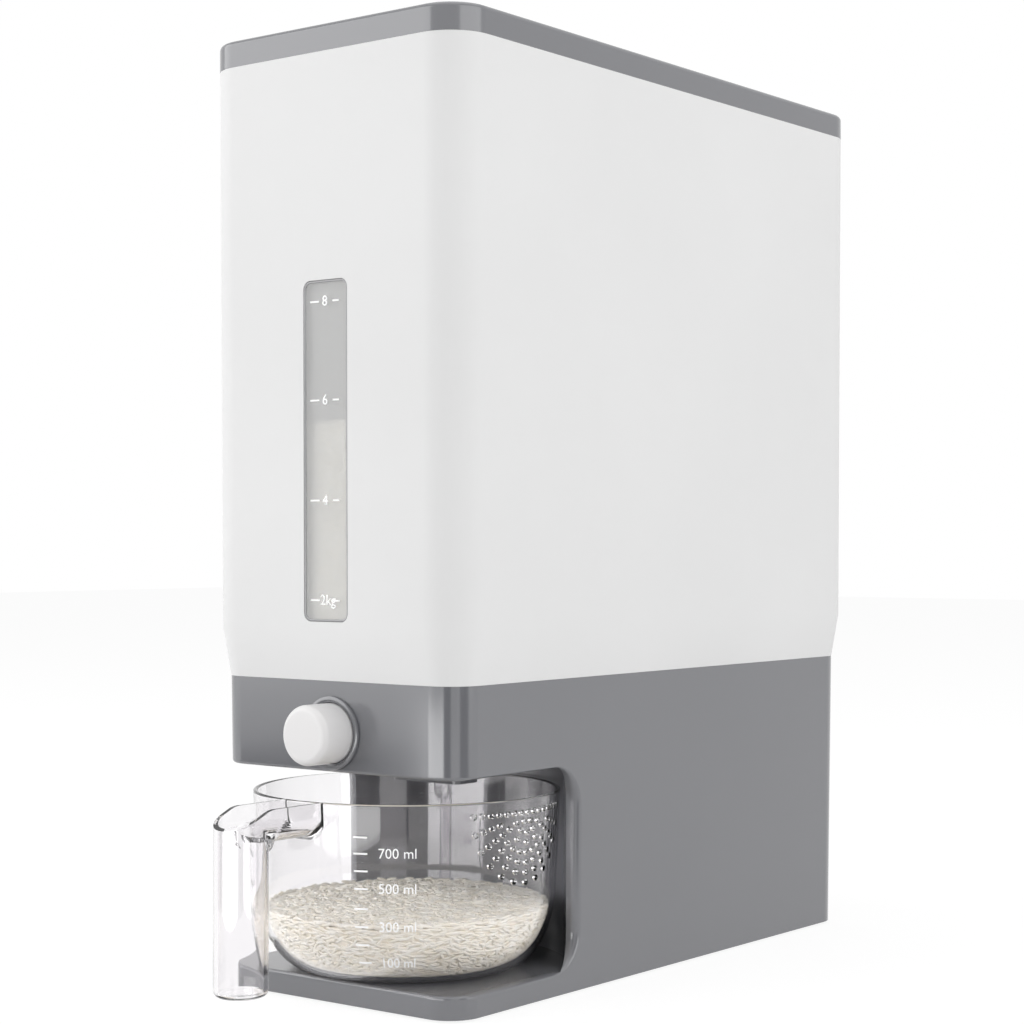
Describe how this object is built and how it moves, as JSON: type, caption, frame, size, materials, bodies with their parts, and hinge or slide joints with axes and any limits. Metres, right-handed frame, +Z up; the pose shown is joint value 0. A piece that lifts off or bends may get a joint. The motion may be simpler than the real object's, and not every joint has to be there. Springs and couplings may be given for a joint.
{
  "type": "rice dispenser",
  "caption": "Tall lidded hopper on a base with a push-button gate over an open bay, where a clear measuring cup with a handle stands and pulls out.",
  "frame": {"origin": "on the surface the object stands on, under the middle of the whole object's box with the cup in its bay", "axes": "+Z up, front with the cup and the button towards -Y, +X to the right seen from the front"},
  "size_m": [0.1518, 0.3991, 0.431],
  "materials": {
    "grey_plastic": "satin moulded grey plastic",
    "white_plastic": "satin moulded white plastic",
    "inner_plastic": "matt moulded plastic",
    "gate_plastic": "matt slippery plastic",
    "clear_plastic": "clear polished plastic with a slight mauve tint",
    "rubber": "matt",
    "seal_rubber": "translucent white silicone",
    "steel": "bright zinc plated"
  },
  "bodies": {
    "housing": {"base_shell": "grey_plastic", "base_plate": "grey_plastic", "foot_front_left": "rubber", "foot_front_right": "rubber", "foot_rear_left": "rubber", "foot_rear_right": "rubber", "base_screws": "steel", "hopper_shell": "white_plastic", "hopper_floor": "inner_plastic", "window_pane": "clear_plastic", "hopper_screws": "steel", "button_bezel": "grey_plastic", "rod_guide": "inner_plastic", "gate_channel": "inner_plastic", "gate_cover": "inner_plastic", "throat_seal": "rubber", "return_spring": "steel", "outlet_nozzle": "grey_plastic", "mechanism_screws": "steel"},
    "lid": {"lid": "grey_plastic", "lid_seal": "seal_rubber"},
    "button": {"button_cap": "white_plastic", "push_rod": "inner_plastic", "rod_clip": "steel", "gate_plate": "gate_plastic"},
    "cup": {"measuring_cup": "clear_plastic"}
  },
  "joints": [
    {"name": "lid_lift", "type": "slide", "parent": "housing", "child": "lid", "axis": [0, 0, 1], "range_m": [0, 0.06]},
    {"name": "button_push", "type": "slide", "parent": "housing", "child": "button", "axis": [0, 1, 0], "range_m": [0, 0.014], "stiffness_N_per_m": 350, "springref_m": -0.01, "deforming": ["return_spring"]},
    {"name": "cup_slide", "type": "slide", "parent": "housing", "child": "cup", "axis": [0, -1, 0], "range_m": [0, 0.18]}
  ]
}
